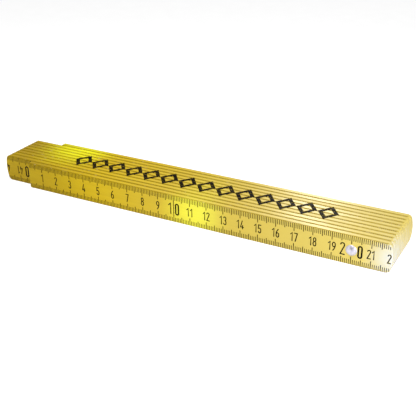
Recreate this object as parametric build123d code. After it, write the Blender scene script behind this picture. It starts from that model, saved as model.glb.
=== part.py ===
from build123d import *
import math
import os

# A two-metre folding rule: ten flat lacquered staves, stacked in ten layers and joined end to
# end by nine riveted joints, so that every stave turns in its own layer. Modelled folded up and
# standing on its narrow edges.
# Frame, in millimetres: +X along the staves, +Y from the first stave back through the stack,
# +Z up across a stave's width. The origin is the middle of the stack's underside.

# Staves
STAVE_COUNT = 10
JOINT_PITCH = 200.0    # from one rivet to the next along a stave, so ten staves read 2 m
OVERHANG = 20.5        # from a rivet to the tip of the stave's rounded end
WIDTH = 16.0
THICKNESS = 3.3
GAP = 0.25             # air between two neighbouring staves
END_BULGE = 1.2        # how far a joint end's arc stands out over its corners
CORNER_RADIUS = 2.6
ZERO_CORNER_RADIUS = 0.8   # at the two free ends, which are cut square
EDGE_RADIUS = 0.45

# Steel joint plates, let flush into the two stave faces that meet at a joint
PLATE_THICKNESS = 0.5
PLATE_LENGTH = 28.0
PLATE_WIDTH = 8.0
PLATE_EYE = 12.0       # diameter of the round middle that carries the click stops
RECESS_CLEARANCE = 0.05
STOP_COUNT = 4         # click stops, one every quarter turn
STOP_CIRCLE_RADIUS = 4.6
STOP_BUMP_DIAMETER = 1.6
STOP_HOLE_DIAMETER = 1.8
STOP_HEIGHT = 0.2      # height of the bumps and of the pivot ring, just under the air gap
RING_DIAMETER = 7.0

# Pins that hold the plates in the wood
PIN_DIAMETER = 1.0
PIN_HEAD_DIAMETER = 2.0
PIN_LENGTH = 2.3
PIN_TIP = 0.4
PIN_OFFSET = 11.0      # from the rivet, along the stave, to each side

# Rivets, tight in the stave that carries the head and running in the other
RIVET_DIAMETER = 3.0
RUNNING_CLEARANCE = 0.05
HEAD_DIAMETER = 5.8
DOME_HEIGHT = 1.2      # the two outermost rivets have a proud dome
FLAT_HEAD_THICKNESS = 0.8
HEAD_POCKET_DIAMETER = 6.0
SINK = 0.1             # how far flat heads and formed ends lie under the face
TAIL_DIAMETER = 5.2
TAIL_THICKNESS = 0.6

# Dished spring washers that press each joint together, under the rivets' formed ends
WASHER_BORE = 3.3
WASHER_DIAMETER = 6.6
WASHER_THICKNESS = 0.3
WASHER_HEIGHT = 0.5
TAIL_POCKET_DIAMETER = 7.0

LAYER = THICKNESS + GAP
STACK_DEPTH = (STAVE_COUNT - 1) * LAYER + THICKNESS
MID_HEIGHT = WIDTH / 2
TAIL_POCKET_DEPTH = WASHER_HEIGHT + TAIL_THICKNESS + SINK
JOINT_COUNT = STAVE_COUNT - 1


def front_y(stave):
    """The Y of a stave's front face; stave 1 is the foremost."""
    return -STACK_DEPTH / 2 + (stave - 1) * LAYER


def back_y(stave):
    return front_y(stave) + THICKNESS


def joint_x(joint):
    """Odd joints are at the right-hand end of the folded stack, even ones at the left."""
    return JOINT_PITCH / 2 if joint % 2 else -JOINT_PITCH / 2


def facing_back(x, y):
    """A plane at the rivet axis with its normal along +Y, for work seen from behind."""
    return Plane(origin=(x, y, MID_HEIGHT), x_dir=(-1, 0, 0), z_dir=(0, 1, 0))


def facing_front(x, y):
    """The same plane turned to face -Y, for work seen from the front."""
    return Plane(origin=(x, y, MID_HEIGHT), x_dir=(1, 0, 0), z_dir=(0, -1, 0))


def shapes_of(thing):
    """A part's solids as one compound, which is how a node is written."""
    return Compound(children=thing.solids())


# Plates ---------------------------------------------------------------------------------------


def plate_outline(grow=0.0):
    """A round eye with an arm to each side, on the local XY plane, centred on the rivet."""
    arms = SlotOverall(PLATE_LENGTH + 2 * grow, PLATE_WIDTH + 2 * grow)
    return arms + Circle(PLATE_EYE / 2 + grow)


def stop_places():
    return PolarLocations(STOP_CIRCLE_RADIUS, STOP_COUNT, start_angle=45)


def pin_places():
    return [Location((side * PIN_OFFSET, 0, 0)) for side in (-1, 1)]


def pin():
    """A countersunk pin driven along local -Z, with its head level with the plate's face."""
    head = Cone(PIN_DIAMETER / 2, PIN_HEAD_DIAMETER / 2, PLATE_THICKNESS,
                align=(Align.CENTER, Align.CENTER, Align.MAX))
    shank_length = PIN_LENGTH - PLATE_THICKNESS - PIN_TIP
    shank = Pos(0, 0, -PLATE_THICKNESS) * Cylinder(
        PIN_DIAMETER / 2, shank_length, align=(Align.CENTER, Align.CENTER, Align.MAX))
    point = Pos(0, 0, -PLATE_THICKNESS - shank_length) * Cone(
        PIN_DIAMETER / 6, PIN_DIAMETER / 2, PIN_TIP, align=(Align.CENTER, Align.CENTER, Align.MAX))
    return head + shank + point


def plate_bore(turns):
    """A plate grips the rivet in the stave that carries its head, and turns on it in the other."""
    return RIVET_DIAMETER + (2 * RUNNING_CLEARANCE if turns else 0.0)


def plain_plate(bore):
    """The flat plate common to both sides, its face on local Z = 0, with its rivet and pin holes."""
    body = extrude(plate_outline(), amount=-PLATE_THICKNESS)
    body -= Cylinder(bore / 2, 4 * PLATE_THICKNESS)
    for place in pin_places():
        body -= place * pin()
    return body


def stop_bump():
    """A low spherical cap standing on local Z = 0."""
    half = STOP_BUMP_DIAMETER / 2
    ball = (half**2 + STOP_HEIGHT**2) / (2 * STOP_HEIGHT)
    cap = Pos(0, 0, STOP_HEIGHT - ball) * Sphere(ball)
    return cap & Pos(0, 0, -STOP_HEIGHT / 2) * Cylinder(
        half, 3 * STOP_HEIGHT, align=(Align.CENTER, Align.CENTER, Align.CENTER))


def detent_plate(turns):
    """The plate with the bumps, in the back face of the front stave of a joint."""
    body = plain_plate(plate_bore(turns))
    for place in stop_places():
        body += place * stop_bump()
    return body


def catch_plate(turns):
    """The plate with the stop holes and the raised pivot ring, in the stave behind."""
    bore = plate_bore(turns)
    ring = extrude(Circle(RING_DIAMETER / 2) - Circle(bore / 2), amount=STOP_HEIGHT)
    body = plain_plate(bore) + ring
    for place in stop_places():
        body -= place * Cylinder(STOP_HOLE_DIAMETER / 2, 4 * PLATE_THICKNESS)
    return body


# Rivets and washers ---------------------------------------------------------------------------


def dome():
    """A proud round head standing on local Z = 0, pointing along +Z."""
    half = HEAD_DIAMETER / 2
    ball = (half**2 + DOME_HEIGHT**2) / (2 * DOME_HEIGHT)
    cap = Pos(0, 0, DOME_HEIGHT - ball) * Sphere(ball)
    return cap & Cylinder(half, 2 * DOME_HEIGHT, align=(Align.CENTER, Align.CENTER, Align.MIN))


def flat_head():
    """A sunk head whose rim is broken by a small chamfer, its top at local Z = -SINK."""
    disc = Pos(0, 0, -SINK) * Cylinder(
        HEAD_DIAMETER / 2, FLAT_HEAD_THICKNESS, align=(Align.CENTER, Align.CENTER, Align.MAX))
    rim = disc.edges().group_by(Axis.Z)[-1]
    return chamfer(rim, FLAT_HEAD_THICKNESS / 4)


def rivet(domed):
    """A rivet from its head's stave face, local Z = 0, down through both staves to its tail."""
    grip = THICKNESS + GAP + THICKNESS
    shank = Cylinder(RIVET_DIAMETER / 2, grip - SINK, align=(Align.CENTER, Align.CENTER, Align.MAX))
    if not domed:
        shank = Pos(0, 0, -SINK) * Cylinder(
            RIVET_DIAMETER / 2, grip - 2 * SINK, align=(Align.CENTER, Align.CENTER, Align.MAX))
    tail = Pos(0, 0, -grip + SINK) * Cylinder(
        TAIL_DIAMETER / 2, TAIL_THICKNESS, align=(Align.CENTER, Align.CENTER, Align.MIN))
    tail = chamfer(tail.edges().group_by(Axis.Z)[0], TAIL_THICKNESS / 3)
    head = dome() if domed else flat_head()
    return head + shank + tail


def spring_washer():
    """A dished washer: its outer rim bears on the wood and its inner rim on the rivet's tail."""
    rise = WASHER_HEIGHT - WASHER_THICKNESS
    inner, outer = WASHER_BORE / 2, WASHER_DIAMETER / 2
    section = Polyline((inner, 0), (outer, rise), (outer, rise + WASHER_THICKNESS),
                       (inner, WASHER_THICKNESS), (inner, 0))
    return revolve(make_face(Plane.XZ * section), Axis.Z)


# Staves ---------------------------------------------------------------------------------------


def stave_outline(stave):
    """A stave's broad face seen from the front, with +X and +Z as the sketch's axes."""
    tip = JOINT_PITCH / 2 + OVERHANG
    shoulder = tip - END_BULGE
    is_end_stave = stave in (1, STAVE_COUNT)
    right = ThreePointArc((shoulder, 0), (tip, MID_HEIGHT), (shoulder, WIDTH))
    if is_end_stave:
        zero = -JOINT_PITCH / 2
        left = Line((zero, WIDTH), (zero, 0))
        left_x = zero
    else:
        left = ThreePointArc((-shoulder, WIDTH), (-tip, MID_HEIGHT), (-shoulder, 0))
        left_x = -shoulder
    top = Line((shoulder, WIDTH), (left_x, WIDTH))
    bottom = Line((left_x, 0), (shoulder, 0))
    face = make_face([bottom, right, top, left])
    face = fillet(face.vertices().group_by(Axis.X)[-1], CORNER_RADIUS)
    left_corners = face.vertices().group_by(Axis.X)[0]
    return fillet(left_corners, ZERO_CORNER_RADIUS if is_end_stave else CORNER_RADIUS)


def stave_blank(stave):
    """The stave before any machining, with all its long edges rounded over."""
    outline = Plane(origin=(0, front_y(stave), 0), x_dir=(1, 0, 0), z_dir=(0, -1, 0)) * \
        stave_outline(stave)
    blank = extrude(outline, amount=-THICKNESS)
    rims = blank.edges().group_by(Axis.Y)
    return fillet(rims[0] + rims[-1], EDGE_RADIUS)


def plate_cut(plane):
    """The recess and pin holes for one plate, cut down from the plane's face."""
    cut = extrude(plate_outline(RECESS_CLEARANCE), amount=-PLATE_THICKNESS)
    for place in pin_places():
        cut += place * pin()
    return plane * cut


def pocket(plane, diameter, depth):
    return plane * Cylinder(diameter / 2, depth, align=(Align.CENTER, Align.CENTER, Align.MAX))


def shank_hole(plane, running):
    clearance = RUNNING_CLEARANCE if running else 0.0
    return plane * Cylinder(RIVET_DIAMETER / 2 + clearance, 3 * THICKNESS)


def rivet_is_reversed(joint):
    """The last rivet goes in from behind, so that its dome is on the outside of the stack."""
    return joint == JOINT_COUNT


def rivet_is_domed(joint):
    return joint in (1, JOINT_COUNT)


def head_stave(joint):
    return joint + 1 if rivet_is_reversed(joint) else joint


def rivet_plane(joint):
    """The face that the rivet's head lies on, with its normal pointing out of the stack."""
    if rivet_is_reversed(joint):
        return facing_back(joint_x(joint), back_y(joint + 1))
    return facing_front(joint_x(joint), front_y(joint))


def tail_plane(joint):
    """The opposite face, where the washer and the formed end are."""
    if rivet_is_reversed(joint):
        return facing_front(joint_x(joint), front_y(joint))
    return facing_back(joint_x(joint), back_y(joint + 1))


def detent_plane(joint):
    return facing_back(joint_x(joint), back_y(joint))


def catch_plane(joint):
    return facing_front(joint_x(joint), front_y(joint + 1))


def stave_joints(stave):
    return [joint for joint in (stave - 1, stave) if 1 <= joint <= JOINT_COUNT]


def stave_solid(stave):
    body = stave_blank(stave)
    for joint in stave_joints(stave):
        is_head = head_stave(joint) == stave
        plate_plane = detent_plane(joint) if joint == stave else catch_plane(joint)
        body -= plate_cut(plate_plane)
        body -= shank_hole(plate_plane, running=not is_head)
        if not is_head:
            body -= pocket(tail_plane(joint), TAIL_POCKET_DIAMETER, TAIL_POCKET_DEPTH)
        elif not rivet_is_domed(joint):
            body -= pocket(rivet_plane(joint), HEAD_POCKET_DIAMETER, FLAT_HEAD_THICKNESS + SINK)
    return body


def stave_pins(stave):
    pins = []
    for joint in stave_joints(stave):
        plane = detent_plane(joint) if joint == stave else catch_plane(joint)
        pins += [plane * place * pin() for place in pin_places()]
    return pins


def washer_at(joint):
    """Seated on the bottom of the tail pocket, dished away from the wood."""
    seat = tail_plane(joint).offset(-TAIL_POCKET_DEPTH + WASHER_HEIGHT)
    turned = Plane(origin=seat.origin, x_dir=seat.x_dir, z_dir=-seat.z_dir)
    return turned * spring_washer()


def main():
    os.makedirs("parts", exist_ok=True)
    nodes = {}
    for stave in range(1, STAVE_COUNT + 1):
        nodes[f"stave_{stave:02d}"] = shapes_of(stave_solid(stave))
        pins = [solid for one in stave_pins(stave) for solid in one.solids()]
        nodes[f"plate_pins_{stave:02d}"] = Compound(children=pins)
    for joint in range(1, JOINT_COUNT + 1):
        detent = detent_plate(turns=rivet_is_reversed(joint))
        catch = catch_plate(turns=not rivet_is_reversed(joint))
        nodes[f"detent_plate_{joint}"] = shapes_of(detent_plane(joint) * detent)
        nodes[f"catch_plate_{joint}"] = shapes_of(catch_plane(joint) * catch)
        nodes[f"rivet_{joint}"] = shapes_of(rivet_plane(joint) * rivet(rivet_is_domed(joint)))
        nodes[f"spring_washer_{joint}"] = shapes_of(washer_at(joint))
    for name, shape in nodes.items():
        export_step(shape, f"parts/{name}.step")


main()
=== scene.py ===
import math

import bmesh
import bpy
from mathutils import Matrix, Vector


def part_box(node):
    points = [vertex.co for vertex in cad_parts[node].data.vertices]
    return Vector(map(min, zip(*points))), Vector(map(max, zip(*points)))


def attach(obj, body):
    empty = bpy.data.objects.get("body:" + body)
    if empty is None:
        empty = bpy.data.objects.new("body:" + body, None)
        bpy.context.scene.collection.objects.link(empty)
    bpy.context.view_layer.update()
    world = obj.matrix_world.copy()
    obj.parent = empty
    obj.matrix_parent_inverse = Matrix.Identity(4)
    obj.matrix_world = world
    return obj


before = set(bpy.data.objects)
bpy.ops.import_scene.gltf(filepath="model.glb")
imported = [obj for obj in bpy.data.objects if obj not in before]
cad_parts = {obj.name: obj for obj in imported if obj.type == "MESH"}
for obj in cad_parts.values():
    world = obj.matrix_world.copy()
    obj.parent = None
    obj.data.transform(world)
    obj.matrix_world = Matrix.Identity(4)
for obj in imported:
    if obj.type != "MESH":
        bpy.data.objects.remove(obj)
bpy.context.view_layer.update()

STAVES = sum(name.startswith("stave_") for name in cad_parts)

# The rule's own measures that the frame doesn't state, in metres
MM = 0.001
CENTIMETRE = 10 * MM
STAVE_READS = 200 * MM
EDGE_RADIUS = 0.45 * MM
END_BULGE = 1.2 * MM           # how far a rounded end's arc stands out over its corners
CORNER_RADIUS = 2.6 * MM

# Print, which stands a hair proud of the lacquer and is rooted a hair below it
PROUD = 0.02 * MM
ROOT = 0.03 * MM
OVERLAP_LIFT = 0.004 * MM      # how much prouder a stroke lies than the one that it crosses


# Mesh building ----------------------------------------------------------------------------------


class Solids:
    """Closed solids gathered into one mesh."""

    def __init__(self):
        self.points = []
        self.faces = []

    def add(self, points, faces):
        count = len(self.points)
        self.points += points
        self.faces += [tuple(count + i for i in face) for face in faces]

    def make(self, name, material):
        mesh = bpy.data.meshes.new(name)
        mesh.from_pydata(self.points, [], self.faces)
        turn_outwards(mesh)
        return add_object(name, mesh, material)


def turn_outwards(mesh):
    """Turns the faces of each closed solid in the mesh to point out of it."""
    edit = bmesh.new()
    edit.from_mesh(mesh)
    bmesh.ops.recalc_face_normals(edit, faces=edit.faces)
    edit.to_mesh(mesh)
    edit.free()


def add_object(name, mesh, material):
    mesh.materials.append(material)
    thing = bpy.data.objects.new(name, mesh)
    bpy.context.scene.collection.objects.link(thing)
    return thing


def strip_faces(rows, closed=False):
    """Faces of a bar whose cross-sections are four points each: out left, out right, in right, in left."""
    faces = []
    for row in range(rows if closed else rows - 1):
        here = 4 * row
        there = 4 * ((row + 1) % rows)
        for corner in range(4):
            after = (corner + 1) % 4
            faces.append((here + corner, there + corner, there + after, here + after))
    if not closed:
        last = 4 * (rows - 1)
        faces.append((0, 1, 2, 3))
        faces.append((last + 3, last + 2, last + 1, last))
    return faces


# Staves and their faces -------------------------------------------------------------------------


class Side:
    """One printed face of a stave: which way its figures run, and where its print begins and ends.

    outward is the face's normal along Y, and y its place. along is +1 or -1, the X direction in
    which the scale counts up, and up the Z direction in which the figures stand. zero is the X at
    which the scale would read nought. start is the reading at the stave's first rivet or zero end,
    and jointed says whether its other end has a rivet too. first and last are the readings between
    which the face shows.
    """

    def __init__(self, stave, outward):
        self.low, self.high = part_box(f"stave_{stave:02d}")
        self.outward = outward
        self.y = self.high.y if outward > 0 else self.low.y
        self.middle_z = self.high.z / 2
        self.along = (1 if stave % 2 else -1) * -outward
        self.up = -outward * self.along
        staves_before = stave - 1 if outward < 0 else STAVES - stave
        self.start = staves_before * STAVE_READS
        self.zero = -self.along * (STAVE_READS / 2 + self.start)
        overhang = self.high.x - STAVE_READS / 2
        self.jointed = staves_before < STAVES - 1
        self.first = self.start + (overhang if staves_before else 0.0)
        self.last = self.start + STAVE_READS + (overhang if self.jointed else 0.0)

    def x(self, reading):
        return self.zero + self.along * reading

    def tip(self, x):
        """How far the stave reaches on x's side of the stack's middle."""
        return self.high.x if x > 0 else -self.low.x

    def at_joint(self, reading):
        """Whether a whole reading is the one at the stave's far rivet."""
        return abs(reading - self.start - STAVE_READS) < MM


def end_inset(side, x):
    """How far the end's outline has come in from the long edges at x; nothing at a square zero end."""
    half_width, tip = side.middle_z, side.tip(x)
    bow = (half_width**2 + END_BULGE**2) / (2 * END_BULGE)
    reach = bow - CORNER_RADIUS
    run = math.sqrt(reach**2 - (half_width - CORNER_RADIUS)**2)
    corner_x = tip - bow + run
    tangent_x = tip - bow + run * bow / reach
    rounded = tip > STAVE_READS / 2 + CENTIMETRE
    if not rounded or abs(x) <= corner_x:
        return 0.0
    if abs(x) <= tangent_x:
        return CORNER_RADIUS - math.sqrt(CORNER_RADIUS**2 - (abs(x) - corner_x)**2)
    if abs(x) >= tip:
        return half_width
    return half_width - math.sqrt(bow**2 - (abs(x) - tip + bow)**2)


# Ticks ------------------------------------------------------------------------------------------

TICK_WIDTH = 0.34 * MM
LONG_TICK_WIDTH = 0.42 * MM
TEN_EVERY = 100                # millimetres from one round ten to the next
NUMBER_EVERY = 10
LONG_TICK_EVERY = 5
TICK_LENGTHS = {NUMBER_EVERY: 4.5 * MM, LONG_TICK_EVERY: 3.7 * MM, 1: 2.9 * MM}
TICK_START = 0.22 * MM         # part of the way up the edge's rounding
TICK_BENDS = (0.7, 1.0)        # shares of the edge's rounding where a tick has a row of points


def face_profile(side, inset, height):
    """The (y, z) of a point of the stave's cross-section: inset from its long edge at z = 0,
    following the edge's rounding, and raised by height along the surface's normal."""
    if inset >= EDGE_RADIUS:
        return side.y + side.outward * height, inset
    turn = math.acos(1 - inset / EDGE_RADIUS)
    radius = EDGE_RADIUS + height
    y = side.y - side.outward * (EDGE_RADIUS - radius * math.sin(turn))
    return y, EDGE_RADIUS - radius * math.cos(turn)


def add_tick(solids, side, x, width, start, end, from_top):
    """A bar across the stave at x, from start to end counted in from a long edge."""
    bends = [EDGE_RADIUS * share for share in TICK_BENDS]
    insets = [start, *[bend for bend in bends if start < bend < end], end]
    points = []
    for inset in insets:
        for height, sign in ((PROUD, -1), (PROUD, 1), (-ROOT, 1), (-ROOT, -1)):
            y, z = face_profile(side, inset, height)
            points.append((x + sign * width / 2, y, side.high.z - z if from_top else z))
    solids.add(points, strip_faces(len(insets)))


def add_ticks(solids, side, reading_mm):
    """A millimetre's pair of ticks, which meet in one line at a round ten between rivets."""
    reading = reading_mm * MM
    x = side.x(reading)
    length = next(TICK_LENGTHS[unit] for unit in TICK_LENGTHS if reading_mm % unit == 0)
    if reading_mm % TEN_EVERY == 0 and not side.at_joint(reading):
        length = side.middle_z
    width = TICK_WIDTH if reading_mm % LONG_TICK_EVERY else LONG_TICK_WIDTH
    cut = end_inset(side, x + math.copysign(width / 2, x))
    start = cut + EDGE_RADIUS if cut else TICK_START
    if start < length - width:
        for from_top in (False, True):
            add_tick(solids, side, x, width, start, length, from_top)


# Figures ----------------------------------------------------------------------------------------
# Each figure is drawn by its strokes' middle lines in a box 0.4 wide and 1 high, centred on x = 0.
# A stroke is its points and whether it closes on itself.

FIGURE_WIDTH = 0.4
ARC_STEP = math.radians(15)
SWING_STEPS = 6


def arc(x, y, rx, ry, start, end):
    """Points of an ellipse's arc, with its angles in degrees."""
    first, last = math.radians(start), math.radians(end)
    steps = max(2, round(abs(last - first) / ARC_STEP))
    turns = [first + (last - first) * i / steps for i in range(steps + 1)]
    return [(x + rx * math.cos(turn), y + ry * math.sin(turn)) for turn in turns]


def ring(x, y, rx, ry):
    return arc(x, y, rx, ry, 0, 360)[:-1]


def swing(start, pull, end):
    """Points of a quadratic curve."""
    points = []
    for i in range(SWING_STEPS + 1):
        t = i / SWING_STEPS
        weights = ((1 - t)**2, 2 * t * (1 - t), t**2)
        points.append(tuple(sum(w * p[axis] for w, p in zip(weights, (start, pull, end)))
                            for axis in (0, 1)))
    return points


def half_turned(points):
    return [(-x, 1 - y) for x, y in points]


SIX_BOWL = ring(0, 0.295, 0.145, 0.24)
SIX_STEM = swing((0.075, 0.945), (-0.135, 0.68), (-0.145, 0.33))
FIGURES = {
    "0": [(arc(0, 0.815, 0.125, 0.13, 0, 180) + arc(0, 0.185, 0.125, 0.13, 180, 360), True)],
    "1": [([(-0.12, 0.77), (0.045, 0.945), (0.045, 0.055)], False)],
    "2": [(arc(0, 0.79, 0.14, 0.155, 170, -25) + [(-0.145, 0.055), (0.155, 0.055)], False)],
    "3": [(arc(0, 0.74, 0.13, 0.205, 155, -75) + arc(0, 0.295, 0.145, 0.24, 75, -155), False)],
    "4": [([(0.03, 0.945), (-0.15, 0.25), (0.17, 0.25)], False),
          ([(0.075, 0.45), (0.075, 0.055)], False)],
    "5": [([(0.14, 0.945), (-0.1, 0.945), (-0.125, 0.55)]
           + arc(0, 0.325, 0.145, 0.27, 115, -155), False)],
    "6": [(SIX_BOWL, True), (SIX_STEM, False)],
    "7": [([(-0.15, 0.945), (0.15, 0.945), (-0.05, 0.055)], False)],
    "8": [(ring(0, 0.74, 0.125, 0.205), True), (ring(0, 0.295, 0.145, 0.24), True)],
    "9": [(half_turned(SIX_BOWL), True), (half_turned(SIX_STEM), False)],
}

# Stroke widths as shares of a figure's height
THIN_STROKE = 0.110
TENS_STROKE = 0.095
BOLD_STROKE = 0.125
MITRE_LIMIT = 1.7              # how much wider than the stroke a sharp corner may be
CAP_TURNS = (35, 65, 85)       # degrees round a stroke's end, from its full width, at each row there


def stroke_rows(line, width, closed):
    """Left and right points along a stroke, with mitred corners and, on an open one, round ends."""
    points = [Vector(p) for p in line]
    count = len(points)
    ways = []
    for i in range(count if closed else count - 1):
        ways.append((points[(i + 1) % count] - points[i]).normalized())
    rows = []
    for i, point in enumerate(points):
        before = ways[i - 1] if closed or i else ways[0]
        after = ways[i] if i < len(ways) else ways[-1]
        way = (before + after).normalized()
        stretch = 1 / max(1 / MITRE_LIMIT, way.dot(after))
        across = Vector((-way.y, way.x)) * (width / 2 * stretch)
        rows.append((point + across, point - across))
    if not closed:
        start = round_end(points[0], ways[0], -width / 2)
        end = round_end(points[-1], ways[-1], width / 2)
        rows = [*start[::-1], *rows, *end]
    return rows


def round_end(point, way, radius):
    """Rows that close a stroke going way with half a disc, before the point if radius is negative."""
    across = Vector((-way.y, way.x)) * abs(radius)
    rows = []
    for turn in CAP_TURNS:
        angle = math.radians(turn)
        middle = point + way * (radius * math.sin(angle))
        rows.append((middle + across * math.cos(angle), middle - across * math.cos(angle)))
    return rows


def add_figure(solids, side, figure, x, height, stroke):
    """One figure, its middle at x, standing the way the side's print does."""
    base = side.middle_z - side.up * height / 2
    for layer, (line, closed) in enumerate(FIGURES[figure]):
        rows = stroke_rows(line, stroke, closed)
        proud = PROUD + layer * OVERLAP_LIFT
        points = []
        for left, right in rows:
            for lift, point in ((proud, left), (proud, right), (-ROOT, right), (-ROOT, left)):
                points.append((x + side.along * point.x * height, side.y + side.outward * lift,
                               base + side.up * point.y * height))
        solids.add(points, strip_faces(len(rows), closed))


# Numbers ----------------------------------------------------------------------------------------

FIGURE_HEIGHT = 5.1 * MM
FIGURE_STEP = 2.2 * MM         # from one figure's middle to the next
CROWDED_STEP = 1.9 * MM        # and in numbers of three figures
TENS_HEIGHT = 7.0 * MM
CROWDED_TENS_HEIGHT = 5.9 * MM
TENS_STEP = 2.9 * MM
TENS_BESIDE_LINE = 2.15 * MM   # from a full-height line to the middle of the nearest figure
TENS_BESIDE_HEAD = 4.45 * MM   # from a rivet's middle to the middle of the nearest figure
TENS_BESIDE_TAIL = 5.1 * MM
CROWDED_CLOSER = 0.22 * MM     # how much nearer the smaller tens stand
CROWDED_NUDGE = 0.9 * MM       # how far a crowded number moves back from the tens at a rivet
CLEAR_OF_END = 0.35 * MM
ROUND_OF_END = 0.2 * MM


def figure_fits(side, x, height):
    """Whether a whole figure with its middle at x lies on the stave, clear of its rounded end."""
    outer = abs(x) + FIGURE_WIDTH * height / 2 + CLEAR_OF_END
    inset = end_inset(side, math.copysign(outer, x))
    return outer < side.tip(x) and inset < side.middle_z - height / 2


def spaced(middle, step, count):
    """The middles of count figures centred on the reading middle."""
    start = middle - step * (count - 1) / 2
    return [start + place * step for place in range(count)]


def add_figures(solids, side, figures, places, height, stroke):
    """Figures at their readings, leaving out those that the stave's rounded end would cut."""
    for figure, reading in zip(figures, places):
        if figure_fits(side, side.x(reading), height):
            add_figure(solids, side, figure, side.x(reading), height, stroke)


def add_tens(solids, side, centimetres):
    """A round ten in large figures, split either side of its line or of a rivet."""
    reading = centimetres * CENTIMETRE
    beside = TENS_BESIDE_LINE
    if side.at_joint(reading):
        beside = TENS_BESIDE_HEAD if side.outward < 0 else TENS_BESIDE_TAIL
    height, step = TENS_HEIGHT, TENS_STEP
    *left, nought = str(centimetres)
    if len(left) > 1:
        height, step = CROWDED_TENS_HEIGHT, CROWDED_STEP
        beside -= CROWDED_CLOSER
    middle = reading - beside - step * (len(left) - 1) / 2
    add_figures(solids, side, left, spaced(middle, step, len(left)), height, TENS_STROKE)
    add_figures(solids, side, nought, [reading + beside], height, BOLD_STROKE)


def number_places(side, centimetres):
    """A centimetre's figures and their readings, as they stand on an uncut stretch."""
    figures = str(centimetres)
    reading = centimetres * CENTIMETRE
    crowded = len(figures) > 2
    if crowded and side.jointed and side.at_joint(reading + CENTIMETRE):
        reading -= CROWDED_NUDGE
    return figures, spaced(reading, CROWDED_STEP if crowded else FIGURE_STEP, len(figures))


def add_centimetre(solids, side, centimetres):
    """A number on its tick. Where the stave's end cuts it, its last figure is left to the next stave."""
    figures, places = number_places(side, centimetres)
    half = FIGURE_WIDTH * FIGURE_HEIGHT / 2
    if abs(centimetres * CENTIMETRE - side.last) < half:
        room = side.last - ROUND_OF_END - CLEAR_OF_END - half
        shift = min(0.0, room - places[-2])
        figures, places = figures[:-1], [place + shift for place in places[:-1]]
    add_figures(solids, side, figures, places, FIGURE_HEIGHT, THIN_STROKE)


def add_carried_figure(solids, side):
    """The last figure of the number that the end of the stave before cuts."""
    figures, places = number_places(side, int(side.first // CENTIMETRE))
    reading = max(places[-1], side.first + FIGURE_WIDTH * FIGURE_HEIGHT / 2)
    add_figures(solids, side, figures[-1], [reading], FIGURE_HEIGHT, THIN_STROKE)


def add_scale(solids, side):
    """All the ticks and figures of one face."""
    first = math.floor(side.first / MM) + 1
    last = math.ceil(side.last / MM) - 1
    for reading_mm in range(first, last + 1):
        centimetres = reading_mm // NUMBER_EVERY
        if reading_mm % TEN_EVERY == 0:
            add_tens(solids, side, centimetres)
        elif reading_mm % NUMBER_EVERY == 0:
            add_centimetre(solids, side, centimetres)
        add_ticks(solids, side, reading_mm)
    if side.start:
        add_carried_figure(solids, side)


# The band along the stacked edges ---------------------------------------------------------------
# A plain chain of hollow lozenges printed over the folded stack, so that each stave carries its slice.

BAND_START = -78 * MM
BAND_END = 87 * MM
BAND_MIDDLE = 0.4 * MM
BAND_HALF_DEPTH = 7.7 * MM
LOZENGES = 14
LOZENGE_GAP = 0.2 * MM
LINE_WIDTH = 2.7 * MM          # along X
THINNEST_POINT = 0.027 * MM    # the width that is left at a lozenge's tip
SHORTEST_SLICE = 0.135 * MM    # along Y
BAND_BENDS = (0.15, 0.4, 0.7, 1.0)   # shares of the edges' rounding where a slice has a row of points


def band_bars():
    """The band as bars, each its front end and its back end as (y, left x, right x)."""
    pitch = (BAND_END - BAND_START) / LOZENGES
    half = (pitch - LOZENGE_GAP) / 2
    bars = []
    for lozenge in range(LOZENGES):
        middle = BAND_START + (lozenge + 0.5) * pitch
        left_corner = (BAND_MIDDLE, middle - half, middle - half + LINE_WIDTH)
        right_corner = (BAND_MIDDLE, middle + half - LINE_WIDTH, middle + half)
        for depth in (-BAND_HALF_DEPTH, BAND_HALF_DEPTH):
            tip = (BAND_MIDDLE + depth, middle, middle)
            hole_y = BAND_MIDDLE + depth * (half - LINE_WIDTH) / half
            left_of_hole = (hole_y, middle - LINE_WIDTH, middle)
            right_of_hole = (hole_y, middle, middle + LINE_WIDTH)
            past_hole = (hole_y, middle - LINE_WIDTH, middle + LINE_WIDTH)
            pairs = (left_corner, left_of_hole), (right_corner, right_of_hole), (past_hole, tip)
            bars += [sorted(pair) for pair in pairs]
    return bars


def bar_sides(bar, y):
    """The bar's left and right X at y."""
    (front_y, front_left, front_right), (back_y, back_left, back_right) = bar
    share = (y - front_y) / (back_y - front_y)
    left = front_left + share * (back_left - front_left)
    right = front_right + share * (back_right - front_right)
    return left, max(right, left + THINNEST_POINT)


def top_profile(low, high, y, height):
    """The (y, z) of the stave's upper edge at y, following its rounding, raised by height."""
    inward = min(y - low.y, high.y - y)
    if inward >= EDGE_RADIUS:
        return y, high.z + height
    turn = math.acos(1 - inward / EDGE_RADIUS)
    radius = EDGE_RADIUS + height
    z = high.z - EDGE_RADIUS + radius * math.sin(turn)
    if y - low.y < high.y - y:
        return low.y + EDGE_RADIUS - radius * math.cos(turn), z
    return high.y - EDGE_RADIUS + radius * math.cos(turn), z


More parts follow.
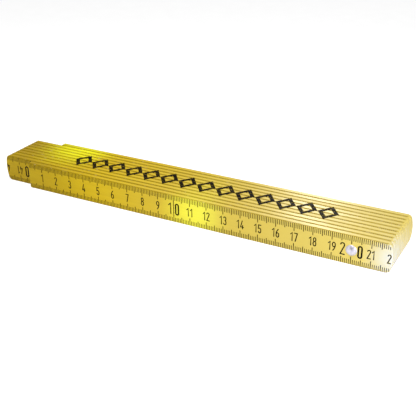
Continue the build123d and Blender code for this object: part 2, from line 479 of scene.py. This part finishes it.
def add_band(solids, stave):
    """The stave's slice of the band, or nothing if the band doesn't reach it."""
    low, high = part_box(f"stave_{stave:02d}")
    bends = [EDGE_RADIUS * share for share in BAND_BENDS]
    stops = [low.y + bend for bend in bends] + [high.y - bend for bend in reversed(bends)]
    for bar in band_bars():
        start = max(stops[0], bar[0][0])
        end = min(stops[-1], bar[1][0])
        if end - start < SHORTEST_SLICE:
            continue
        cuts = [start, *[stop for stop in stops if start < stop < end], end]
        points = []
        for y in cuts:
            left, right = bar_sides(bar, y)
            for height, x in ((PROUD, left), (PROUD, right), (-ROOT, right), (-ROOT, left)):
                points.append((x, *top_profile(low, high, y, height)))
        solids.add(points, strip_faces(len(cuts)))


# Material nodes ---------------------------------------------------------------------------------


class Nodes:
    """A material's node tree, with short calls for the nodes that this scene uses."""

    def __init__(self, name):
        self.material = bpy.data.materials.new(name)
        self.material.use_nodes = True
        self.tree = self.material.node_tree
        self.shader = self.tree.nodes["Principled BSDF"]

    def link(self, source, target):
        self.tree.links.new(source, target)

    def new(self, kind, **inputs):
        node = self.tree.nodes.new(kind)
        fill(node, inputs)
        return node

    def coordinates(self, scale=(1, 1, 1), offset=(0, 0, 0)):
        """The row frame's own coordinates in metres, scaled and shifted."""
        source = self.new("ShaderNodeTexCoord")
        mapping = self.new("ShaderNodeMapping", Scale=scale, Location=offset)
        self.link(source.outputs["Object"], mapping.inputs["Vector"])
        return mapping.outputs["Vector"]

    def place(self):
        """The coordinates' X, Y and Z."""
        node = self.new("ShaderNodeSeparateXYZ")
        self.link(self.coordinates(), node.inputs["Vector"])
        return node.outputs

    def noise(self, vector, scale=1.0, detail=3.0, roughness=0.5, distortion=0.0):
        node = self.new("ShaderNodeTexNoise", Scale=scale, Detail=detail, Roughness=roughness,
                        Distortion=distortion)
        self.link(vector, node.inputs["Vector"])
        return node.outputs["Fac"]

    def span(self, value, low, high, to_low=0.0, to_high=1.0):
        """Maps a value's range low to high smoothly on to another range, and holds it there."""
        node = self.new("ShaderNodeMapRange", From_Min=low, From_Max=high, To_Min=to_low, To_Max=to_high)
        node.interpolation_type = "SMOOTHSTEP"
        self.link(value, node.inputs["Value"])
        return node.outputs["Result"]

    def math(self, operation, *values):
        node = self.new("ShaderNodeMath")
        node.operation = operation
        for socket, value in zip(node.inputs, values):
            if isinstance(value, float):
                socket.default_value = value
            else:
                self.link(value, socket)
        return node.outputs["Value"]

    def distance(self, value, middle):
        return self.math("ABSOLUTE", self.math("SUBTRACT", value, middle))

    def mix(self, factor, first, second):
        """A colour between two others, which are tuples or other nodes' colours."""
        node = self.new("ShaderNodeMix")
        node.data_type = "RGBA"
        sockets = {socket.identifier: socket for socket in node.inputs}
        self.link(factor, sockets["Factor_Float"])
        for name, value in (("A_Color", first), ("B_Color", second)):
            if isinstance(value, tuple):
                sockets[name].default_value = (*value, 1.0)
            else:
                self.link(value, sockets[name])
        return next(socket for socket in node.outputs if socket.identifier == "Result_Color")

    def stain(self, tone, colour, where, low, high, most=1.0):
        """Lays a colour over the tone, up to most of it, where a pattern's value rises from low to high."""
        return self.mix(self.span(where, low, high, to_high=most), tone, colour)

    def bump(self, height, distance, strength, over=None):
        node = self.new("ShaderNodeBump", Distance=distance, Strength=strength)
        self.link(height, node.inputs["Height"])
        if over is not None:
            self.link(over, node.inputs["Normal"])
        return node.outputs["Normal"]

    def finish(self, links, **numbers):
        """Links the shader's inputs, sets the others, and gives the material."""
        for name, source in links.items():
            self.link(source, self.shader.inputs[name])
        fill(self.shader, numbers)
        return self.material


def fill(node, inputs):
    """Sets a node's inputs, named with _ for a space."""
    for name, value in inputs.items():
        node.inputs[name.replace("_", " ")].default_value = value


# Materials --------------------------------------------------------------------------------------
# Grains are noise frequencies along X, Y and Z, in cycles a metre.

YELLOW = (0.63, 0.435, 0.003)
DEEP_YELLOW = (0.50, 0.32, 0.003)
PALE_YELLOW = (0.70, 0.51, 0.012)
SHADED_YELLOW = (0.38, 0.25, 0.002)
PAINTED_HIGHLIGHT_YELLOW = (0.64, 0.51, 0.13)
BARE_WOOD = (0.56, 0.42, 0.18)
PAINTED_GAP_SHADE = (0.26, 0.165, 0.002)
GRIME = (0.16, 0.10, 0.02)
STREAK_GRAIN = (14, 900, 900)
PORE_GRAIN = (160, 5200, 5200)
CLOUD_GRAIN = (22, 60, 60)
GRAIN_SHIFT = (0.37, 1.9, 0.73)      # from one stave to the next, so that no two look the same
GAP_SHADE_REACH = 1.15 * MM       # how far from a gap the stave's edge carries painted shade
SHADE_END = -45 * MM           # painted shade: the folded rule is darker at its -X end and carries a painted pale highlight towards its +X end
HIGHLIGHT_START = -75 * MM          # and sun-bleached towards its +X end
HIGHLIGHT_END = 125 * MM


def lacquer(stave):
    """Yellow lacquer over straight-grained wood: streaks and pores along X, wear on the arrises, painted
    shade towards -X and along the gaps between staves, and a painted pale highlight towards +X.
    """
    low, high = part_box(f"stave_{stave:02d}")
    nodes = Nodes(f"lacquer_{stave:02d}")
    shift = tuple(step * stave for step in GRAIN_SHIFT)
    streaks = nodes.noise(nodes.coordinates(STREAK_GRAIN, shift), detail=4.0, roughness=0.6, distortion=0.4)
    pores = nodes.noise(nodes.coordinates(PORE_GRAIN, shift), detail=2.0)
    clouds = nodes.noise(nodes.coordinates(CLOUD_GRAIN, shift))
    orange_peel = nodes.noise(nodes.coordinates(offset=shift), scale=900.0, detail=2.0)
    specks = nodes.noise(nodes.coordinates(offset=shift), scale=420.0, detail=4.0, roughness=0.65)

    along, through, across = nodes.place()
    across = nodes.distance(across, high.z / 2)
    through = nodes.distance(through, (low.y + high.y) / 2)
    half_depth = (high.y - low.y) / 2
    near_edge = nodes.span(across, high.z / 2 - EDGE_RADIUS, high.z / 2)
    near_face = nodes.span(through, half_depth - EDGE_RADIUS, half_depth)
    arris = nodes.math("MULTIPLY", near_edge, near_face)
    near_gap = nodes.span(through, half_depth - GAP_SHADE_REACH, half_depth)
    gap_shade = nodes.math("MULTIPLY", near_edge, near_gap)
    worn = nodes.math("MULTIPLY", nodes.span(specks, 0.56, 0.66), nodes.span(arris, 0.15, 0.5, to_high=0.75))

    # painted shade: the lacquer darkens towards the -X end
    tone = nodes.mix(nodes.span(along, low.x, SHADE_END), SHADED_YELLOW, YELLOW)
    tone = nodes.stain(tone, DEEP_YELLOW, where=streaks, low=0.35, high=0.7, most=0.38)
    tone = nodes.stain(tone, PALE_YELLOW, where=clouds, low=0.35, high=0.75, most=0.3)
    tone = nodes.stain(tone, DEEP_YELLOW, where=pores, low=0.66, high=0.78, most=0.35)
    tone = nodes.stain(tone, GRIME, where=specks, low=0.68, high=0.76, most=0.12)
    # painted highlight: paler and whiter towards the +X end
    tone = nodes.stain(tone, PAINTED_HIGHLIGHT_YELLOW, where=along, low=HIGHLIGHT_START, high=HIGHLIGHT_END)
    # painted shade on the edges along the gaps between staves
    tone = nodes.stain(tone, PAINTED_GAP_SHADE, where=gap_shade, low=0.0, high=0.9, most=0.8)
    tone = nodes.mix(worn, tone, BARE_WOOD)
    clean = nodes.span(clouds, 0.3, 0.7, to_low=0.30, to_high=0.42)
    roughness = nodes.math("ADD", clean, nodes.math("MULTIPLY", worn, 0.3))
    normal = nodes.bump(streaks, distance=0.03 * MM, strength=0.35)
    normal = nodes.bump(pores, distance=0.01 * MM, strength=0.35, over=normal)
    normal = nodes.bump(orange_peel, distance=0.01 * MM, strength=0.25, over=normal)
    return nodes.finish({"Base Color": tone, "Roughness": roughness, "Normal": normal},
                        Specular_IOR_Level=0.18, Specular_Tint=(1.0, 0.85, 0.3, 1.0))


INK = (0.006, 0.005, 0.003)
THIN_INK = (0.022, 0.016, 0.004)
RUBBED_INK = (0.16, 0.11, 0.01)


def ink():
    """Brown-black print, a little rubbed and uneven."""
    nodes = Nodes("print_ink")
    rubbed = nodes.noise(nodes.coordinates(), scale=2600.0, roughness=0.6)
    thin = nodes.noise(nodes.coordinates(), scale=160.0, detail=2.0)
    tone = nodes.stain(INK, THIN_INK, where=thin, low=0.35, high=0.7)
    tone = nodes.stain(tone, RUBBED_INK, where=rubbed, low=0.62, high=0.76, most=0.3)
    roughness = nodes.span(rubbed, 0.3, 0.7, to_low=0.38, to_high=0.6)
    normal = nodes.bump(rubbed, distance=0.004 * MM, strength=0.4)
    return nodes.finish({"Base Color": tone, "Roughness": roughness, "Normal": normal},
                        Specular_IOR_Level=0.02)


PIT_SHADE = 0.45               # a pit's brightness, as a share of the dull metal's


def metal(name, bright, dull, smooth, rough, scratches):
    """Plated or blued steel: blotched tone, and fine scratches along the axis of lowest frequency."""
    nodes = Nodes(name)
    scratched = nodes.noise(nodes.coordinates(scratches), detail=4.0, roughness=0.65)
    blotches = nodes.noise(nodes.coordinates(), scale=700.0)
    pits = nodes.noise(nodes.coordinates(), scale=5200.0, detail=2.0)
    pitted = tuple(PIT_SHADE * channel for channel in dull)
    tone = nodes.stain(bright, dull, where=blotches, low=0.35, high=0.7)
    tone = nodes.stain(tone, pitted, where=pits, low=0.68, high=0.8, most=0.5)
    roughness = nodes.span(scratched, 0.3, 0.7, to_low=smooth, to_high=rough)
    normal = nodes.bump(scratched, distance=0.008 * MM, strength=0.3)
    return nodes.finish({"Base Color": tone, "Roughness": roughness, "Normal": normal}, Metallic=1.0)


CHIPPED_STEEL = (0.52, 0.50, 0.56)
HEAD_DEPTH = 0.9 * MM          # how deep the paint on a sunk rivet's head goes
PAINT_FADE = 0.09 * MM


def painted_rivet(node):
    """A rivet whose sunk head, towards -Y, is sprayed over with the lacquer and chipped to the steel."""
    paint_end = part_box(node)[0].y + HEAD_DEPTH
    nodes = Nodes(f"painted_{node}")
    chips = nodes.noise(nodes.coordinates(), scale=1100.0, detail=4.0, roughness=0.65)
    film = nodes.noise(nodes.coordinates(), scale=260.0, detail=2.0)
    behind = nodes.span(nodes.place()["Y"], paint_end, paint_end + PAINT_FADE)
    bare = nodes.math("MAXIMUM", nodes.span(chips, 0.58, 0.64), behind)
    tone = nodes.stain(YELLOW, DEEP_YELLOW, where=film, low=0.3, high=0.7, most=0.5)
    tone = nodes.mix(bare, tone, CHIPPED_STEEL)
    roughness = nodes.span(chips, 0.3, 0.7, to_low=0.36, to_high=0.52)
    normal = nodes.bump(chips, distance=0.01 * MM, strength=0.4)
    return nodes.finish({"Base Color": tone, "Metallic": bare, "Roughness": roughness, "Normal": normal})


PALE_FLOOR = (0.52, 0.52, 0.52)
DARKER_FLOOR = (0.48, 0.48, 0.48)
WHITE = (1.0, 1.0, 1.0, 1.0)


def floor_material():
    nodes = Nodes("pale_floor")
    grain = nodes.noise(nodes.coordinates(), scale=60.0, detail=4.0, roughness=0.6)
    tone = nodes.stain(PALE_FLOOR, DARKER_FLOOR, where=grain, low=0.3, high=0.7)
    roughness = nodes.span(grain, 0.3, 0.7, to_low=0.55, to_high=0.65)
    return nodes.finish({"Base Color": tone, "Roughness": roughness},
                        Emission_Color=WHITE, Emission_Strength=0.74)


# Dressing the frame and printing on it ----------------------------------------------------------


def dress(node, material):
    """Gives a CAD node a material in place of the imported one."""
    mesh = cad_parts[node].data
    mesh.materials.clear()
    mesh.materials.append(material)


def dress_frame():
    zinc = metal("zinc_plate", bright=(0.66, 0.66, 0.67), dull=(0.50, 0.50, 0.52),
                 smooth=0.28, rough=0.48, scratches=(60, 2400, 2400))
    dome = metal("rivet_steel", bright=(0.64, 0.62, 0.70), dull=(0.54, 0.52, 0.60),
                 smooth=0.42, rough=0.54, scratches=(900, 900, 900))
    blued = metal("spring_steel", bright=(0.34, 0.34, 0.37), dull=(0.22, 0.22, 0.25),
                  smooth=0.25, rough=0.4, scratches=(700, 700, 700))
    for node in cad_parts:
        if node.startswith("stave_"):
            dress(node, lacquer(int(node[-2:])))
        elif node in ("rivet_1", f"rivet_{STAVES - 1}"):
            dress(node, dome)
        elif node.startswith("rivet_"):
            dress(node, painted_rivet(node))
        elif node.startswith("spring_"):
            dress(node, blued)
        else:
            dress(node, zinc)


def print_staves():
    material = ink()
    for stave in range(1, STAVES + 1):
        solids = Solids()
        for outward in (-1, 1):
            add_scale(solids, Side(stave, outward))
        add_band(solids, stave)
        piece = solids.make(f"print_{stave:02d}", material)
        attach(piece, f"stave_{stave:02d}")


# Studio -----------------------------------------------------------------------------------------

# A round floor, in metres, and the wall that it sweeps up into
FLOOR_RADIUS = 9.0
SWEEP_RADIUS = 3.0
WALL_HEIGHT = 6.0
SWEEP_STEPS = 12
ROUND_SEGMENTS = 72


def rings(profile):
    """The points of a (radius, height) profile turned about the vertical, ring by ring."""
    turns = [2 * math.pi * segment / ROUND_SEGMENTS for segment in range(ROUND_SEGMENTS)]
    return [(radius * math.cos(turn), radius * math.sin(turn), height)
            for radius, height in profile for turn in turns]


def add_stage(name, points, faces, material):
    mesh = bpy.data.meshes.new(name)
    mesh.from_pydata(points, [], faces)
    mesh.shade_smooth()
    thing = add_object(name, mesh, material)
    return thing


def make_floor():
    """The floor, and the wall, which hides the horizon but takes no part in the lighting."""
    material = floor_material()
    add_stage("floor", rings([(FLOOR_RADIUS, 0.0)]), [tuple(range(ROUND_SEGMENTS))], material)

    profile = []
    for step in range(SWEEP_STEPS + 1):
        turn = math.pi / 2 * step / SWEEP_STEPS
        profile.append((FLOOR_RADIUS + SWEEP_RADIUS * math.sin(turn), SWEEP_RADIUS * (1 - math.cos(turn))))
    profile.append((FLOOR_RADIUS + SWEEP_RADIUS, WALL_HEIGHT))
    faces = []
    for row in range(len(profile) - 1):
        for segment in range(ROUND_SEGMENTS):
            here = row * ROUND_SEGMENTS + segment
            after = row * ROUND_SEGMENTS + (segment + 1) % ROUND_SEGMENTS
            faces.append((here, here + ROUND_SEGMENTS, after + ROUND_SEGMENTS, after))
    wall = add_stage("wall", rings(profile), faces, material)
    wall.visible_diffuse = False
    wall.visible_glossy = False


LENS = 67.2                    # in millimetres, on a sensor 36 wide
SENSOR_WIDTH = 36.0
EYE = (0.1974, -0.3377, 0.1945)
YAW, PITCH, ROLL = math.radians(-28.83), math.radians(26.38), math.radians(-0.90)
NEAREST, FARTHEST = 0.01, 20.0


def make_camera():
    """The eye stands before the right-hand end, above it, and looks back along the rule."""
    data = bpy.data.cameras.new("camera")
    data.sensor_width = SENSOR_WIDTH
    data.lens = LENS
    data.clip_start = NEAREST
    data.clip_end = FARTHEST
    camera = bpy.data.objects.new("camera", data)
    bpy.context.scene.collection.objects.link(camera)
    ahead = Vector((math.sin(YAW) * math.cos(PITCH), math.cos(YAW) * math.cos(PITCH), -math.sin(PITCH)))
    level = ahead.cross(Vector((0, 0, 1))).normalized()
    over = level.cross(ahead)
    right = level * math.cos(ROLL) + over * math.sin(ROLL)
    up = over * math.cos(ROLL) - level * math.sin(ROLL)
    turn = Matrix((right, up, -ahead)).transposed().to_4x4()
    camera.matrix_world = Matrix.Translation(EYE) @ turn
    bpy.context.scene.camera = camera


def add_light(data, place, target, power, colour):
    """A light at place, turned to the target and unseen itself."""
    data.energy = power
    data.color = colour
    light = bpy.data.objects.new(data.name, data)
    bpy.context.scene.collection.objects.link(light)
    light.visible_camera = False
    light.location = place
    light.rotation_mode = "QUATERNION"
    light.rotation_quaternion = (Vector(target) - Vector(place)).to_track_quat("-Z", "Y")


def area_light(name, place, target, size, power):
    data = bpy.data.lights.new(name, "AREA")
    data.shape = "RECTANGLE"
    data.size, data.size_y = size
    add_light(data, place, target, power, WHITE[:3])


def spot_light(name, place, target, degrees, power, radius, colour=WHITE[:3]):
    data = bpy.data.lights.new(name, "SPOT")
    data.spot_size = math.radians(degrees)
    data.spot_blend = 1.0
    data.shadow_soft_size = radius
    add_light(data, place, target, power, colour)


LEMON = (0.5, 1.0, 0.3)
SKY = (0.01, 0.08, 0.95)       # on yellow lacquer this light gives white
WORLD_STRENGTH = 0.30


def make_world():
    world = bpy.data.worlds.new("studio")
    world.use_nodes = True
    fill(world.node_tree.nodes["Background"], {"Color": WHITE, "Strength": WORLD_STRENGTH})
    bpy.context.scene.world = world
    bpy.context.scene.view_settings.view_transform = "Standard"


def make_lights():
    """A soft key above, low lights behind and at the right-hand end, and soft pools on the rule."""
    area_light("key", place=(0.06, -0.16, 0.50), target=(0.02, 0.0, 0.0), size=(0.30, 0.30), power=2.6)
    area_light("sheen", place=(-0.052, 0.357, 0.188), target=(0.07, 0.017, 0.016),
               size=(0.06, 0.05), power=0.36)
    area_light("end", place=(0.22, -0.10, 0.06), target=(0.12, 0.0, 0.008), size=(0.06, 0.06), power=0.11)
    spot_light("back_pool", place=(-0.085, 0.03, 0.26), target=(-0.085, 0.014, 0.016),
               degrees=12, power=3.6, radius=0.01, colour=LEMON)
    spot_light("rivet_glint", place=(-0.13, -0.20, 0.085), target=(0.1, -0.018, 0.008),
               degrees=5, power=0.6, radius=0.012)
    spot_light("front_pool", place=(0.03, -0.30, 0.13), target=(0.012, -0.018, 0.009),
               degrees=7, power=3.6, radius=0.008, colour=LEMON)
    spot_light("corner_pool", place=(0.235, -0.22, 0.06), target=(0.1215, -0.018, 0.0085),
               degrees=5.6, power=16.0, radius=0.006, colour=SKY)


dress_frame()
print_staves()
make_floor()
make_camera()
make_world()
make_lights()
